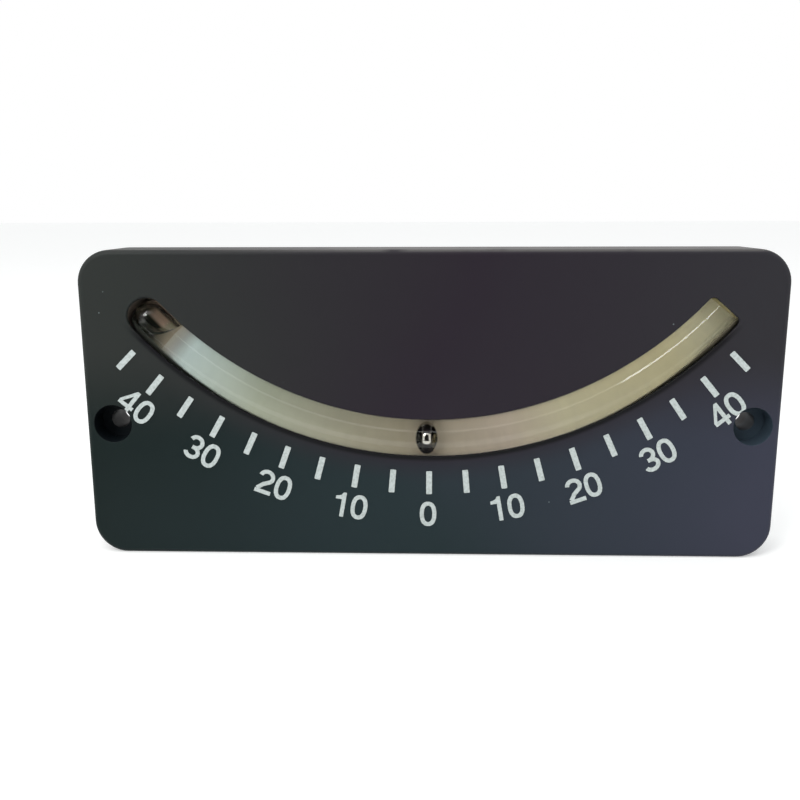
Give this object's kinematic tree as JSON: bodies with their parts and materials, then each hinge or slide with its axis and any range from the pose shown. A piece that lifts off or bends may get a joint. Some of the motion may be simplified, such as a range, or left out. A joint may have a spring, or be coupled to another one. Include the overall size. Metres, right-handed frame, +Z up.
{
  "type": "inclinometer",
  "caption": "Ball inclinometer: a steel ball rolls in a curved liquid-filled glass tube set in a black moulded plate with a white degree scale.",
  "frame": {"origin": "middle of the flat back of the cover, the face that lies against what the instrument is fastened to", "axes": "+X to the right along the plate, +Y out of the back, so that the scale faces -Y, and +Z up"},
  "size_m": [0.1414, 0.0141, 0.0636],
  "materials": {
    "housing_plastic": "satin moulded black",
    "scale_ink": "matt white print",
    "tube_glass": "clear",
    "damping_liquid": "clear liquid",
    "backing_film": "matt cream",
    "plug_rubber": "matt cream",
    "end_adhesive": "glossy brown",
    "black_silicone": "satin black",
    "ball_steel": "polished",
    "screw_steel": "zinc plated"
  },
  "bodies": {
    "housing": {"front_housing": "housing_plastic", "back_cover": "housing_plastic", "cover_screw_bottom_left": "screw_steel", "cover_screw_bottom_middle": "screw_steel", "cover_screw_bottom_right": "screw_steel", "cover_screw_top_left": "screw_steel", "cover_screw_top_middle": "screw_steel", "cover_screw_top_right": "screw_steel", "glass_tube": "tube_glass", "tube_plug": "plug_rubber", "tube_backing": "backing_film", "tube_end_adhesive": "end_adhesive", "tube_bead_left_inner": "black_silicone", "tube_bead_left_outer": "black_silicone", "tube_bead_right_inner": "black_silicone", "tube_bead_right_outer": "black_silicone", "damping_liquid_left": "damping_liquid", "damping_liquid_right": "damping_liquid", "tick_left_45": "scale_ink", "tick_left_40": "scale_ink", "tick_left_35": "scale_ink", "tick_left_30": "scale_ink", "tick_left_25": "scale_ink", "tick_left_20": "scale_ink", "tick_left_15": "scale_ink", "tick_left_10": "scale_ink", "tick_left_5": "scale_ink", "tick_centre": "scale_ink", "tick_right_5": "scale_ink", "tick_right_10": "scale_ink", "tick_right_15": "scale_ink", "tick_right_20": "scale_ink", "tick_right_25": "scale_ink", "tick_right_30": "scale_ink", "tick_right_35": "scale_ink", "tick_right_40": "scale_ink", "tick_right_45": "scale_ink", "digit_left_40_tens": "scale_ink", "digit_left_40_units": "scale_ink", "digit_left_30_tens": "scale_ink", "digit_left_30_units": "scale_ink", "digit_left_20_tens": "scale_ink", "digit_left_20_units": "scale_ink", "digit_left_10_tens": "scale_ink", "digit_left_10_units": "scale_ink", "digit_centre": "scale_ink", "digit_right_10_tens": "scale_ink", "digit_right_10_units": "scale_ink", "digit_right_20_tens": "scale_ink", "digit_right_20_units": "scale_ink", "digit_right_30_tens": "scale_ink", "digit_right_30_units": "scale_ink", "digit_right_40_tens": "scale_ink", "digit_right_40_units": "scale_ink"},
    "ball": {"ball": "ball_steel"}
  },
  "joints": [
    {"name": "ball_roll", "type": "hinge", "parent": "housing", "child": "ball", "pos_m": [0, -0.00905, 0.07135], "axis": [0, -1, 0], "range_deg": [-46, 46.7], "deforming": ["damping_liquid_left", "damping_liquid_right"]}
  ]
}
